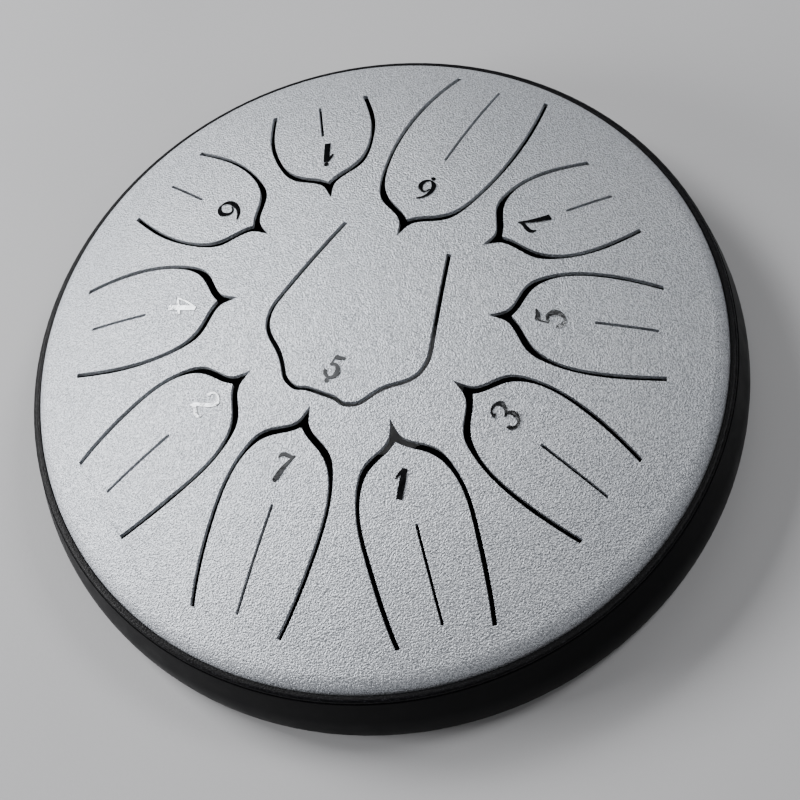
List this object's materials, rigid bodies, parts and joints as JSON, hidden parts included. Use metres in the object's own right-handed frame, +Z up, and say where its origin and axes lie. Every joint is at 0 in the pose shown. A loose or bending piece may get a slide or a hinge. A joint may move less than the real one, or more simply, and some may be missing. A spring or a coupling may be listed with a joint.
{
  "type": "steel tongue drum",
  "caption": "Small domed steel tongue drum: petal-shaped tongues cut in a silver dome around a broad middle tongue, over a low black bowl in a rubber sleeve.",
  "frame": {"origin": "middle of the ring the drum stands on, in the plane of the table", "axes": "+Z up along the drum's axis; -Y to the player, through the tongue of note 1; +X to the player's right"},
  "size_m": [0.1622, 0.1622, 0.0416],
  "materials": {
    "silver_coat": "fine-textured matte silver powder coat",
    "black_coat": "textured satin black powder coat",
    "black_rubber": "smooth matte moulded rubber",
    "foil": "dark polished metal foil"
  },
  "bodies": {
    "drum": {"top_shell": "silver_coat", "bottom_bowl": "black_coat", "rubber_sleeve": "black_rubber"},
    "note_low_5": {"tongue_low_5": "silver_coat", "numeral_low_5": "foil"},
    "note_low_6": {"tongue_low_6": "silver_coat", "numeral_low_6": "foil"},
    "note_low_7": {"tongue_low_7": "silver_coat", "numeral_low_7": "foil"},
    "note_1": {"tongue_1": "silver_coat", "numeral_1": "foil"},
    "note_2": {"tongue_2": "silver_coat", "numeral_2": "foil"},
    "note_3": {"tongue_3": "silver_coat", "numeral_3": "foil"},
    "note_4": {"tongue_4": "silver_coat", "numeral_4": "foil"},
    "note_5": {"tongue_5": "silver_coat", "numeral_5": "foil"},
    "note_6": {"tongue_6": "silver_coat", "numeral_6": "foil"},
    "note_7": {"tongue_7": "silver_coat", "numeral_7": "foil"},
    "note_high_1": {"tongue_high_1": "silver_coat", "numeral_high_1": "foil"}
  },
  "joints": [
    {"name": "note_low_5_flex", "type": "hinge", "parent": "drum", "child": "note_low_5", "pos_m": [0.01206, 0.01402, 0.0396], "axis": [0.7944, -0.6074, 0], "range_deg": [-0.5, 0.5], "stiffness_Nm_per_rad": 52.7},
    {"name": "note_low_6_flex", "type": "hinge", "parent": "drum", "child": "note_low_6", "pos_m": [0.04405, 0.0544, 0.02349], "axis": [0.7826, -0.6225, 0], "range_deg": [-0.5, 0.5], "stiffness_Nm_per_rad": 38.6},
    {"name": "note_low_7_flex", "type": "hinge", "parent": "drum", "child": "note_low_7", "pos_m": [-0.04098, -0.05439, 0.0245], "axis": [-0.7986, 0.6018, 0], "range_deg": [-0.5, 0.5], "stiffness_Nm_per_rad": 41.7},
    {"name": "note_1_flex", "type": "hinge", "parent": "drum", "child": "note_1", "pos_m": [0, -0.0695, 0.02378], "axis": [-0.9997, 0.0227, 0], "range_deg": [-0.5, 0.5], "stiffness_Nm_per_rad": 43.1},
    {"name": "note_2_flex", "type": "hinge", "parent": "drum", "child": "note_2", "pos_m": [-0.0643, -0.01917, 0.025], "axis": [-0.299, 0.9542, 0], "range_deg": [-0.5, 0.5], "stiffness_Nm_per_rad": 45.9},
    {"name": "note_3_flex", "type": "hinge", "parent": "drum", "child": "note_3", "pos_m": [0.03945, -0.05178, 0.02597], "axis": [-0.7771, -0.6293, 0], "range_deg": [-0.5, 0.5], "stiffness_Nm_per_rad": 51.8},
    {"name": "note_4_flex", "type": "hinge", "parent": "drum", "child": "note_4", "pos_m": [-0.06169, 0.02172, 0.02582], "axis": [0.2622, 0.965, 0], "range_deg": [-0.5, 0.5], "stiffness_Nm_per_rad": 51.6},
    {"name": "note_5_flex", "type": "hinge", "parent": "drum", "child": "note_5", "pos_m": [0.06059, -0.01899, 0.02672], "axis": [-0.2622, -0.965, 0], "range_deg": [-0.5, 0.5], "stiffness_Nm_per_rad": 56.2},
    {"name": "note_6_flex", "type": "hinge", "parent": "drum", "child": "note_6", "pos_m": [-0.03586, 0.05337, 0.02634], "axis": [0.8007, 0.599, 0], "range_deg": [-0.5, 0.5], "stiffness_Nm_per_rad": 58.4},
    {"name": "note_7_flex", "type": "hinge", "parent": "drum", "child": "note_7", "pos_m": [0.05983, 0.01626, 0.02742], "axis": [0.2807, -0.9598, 0], "range_deg": [-0.5, 0.5], "stiffness_Nm_per_rad": 63.1},
    {"name": "note_high_1_flex", "type": "hinge", "parent": "drum", "child": "note_high_1", "pos_m": [0.0026, 0.06195, 0.02741], "axis": [0.9978, -0.0663, 0], "range_deg": [-0.5, 0.5], "stiffness_Nm_per_rad": 64.2}
  ]
}
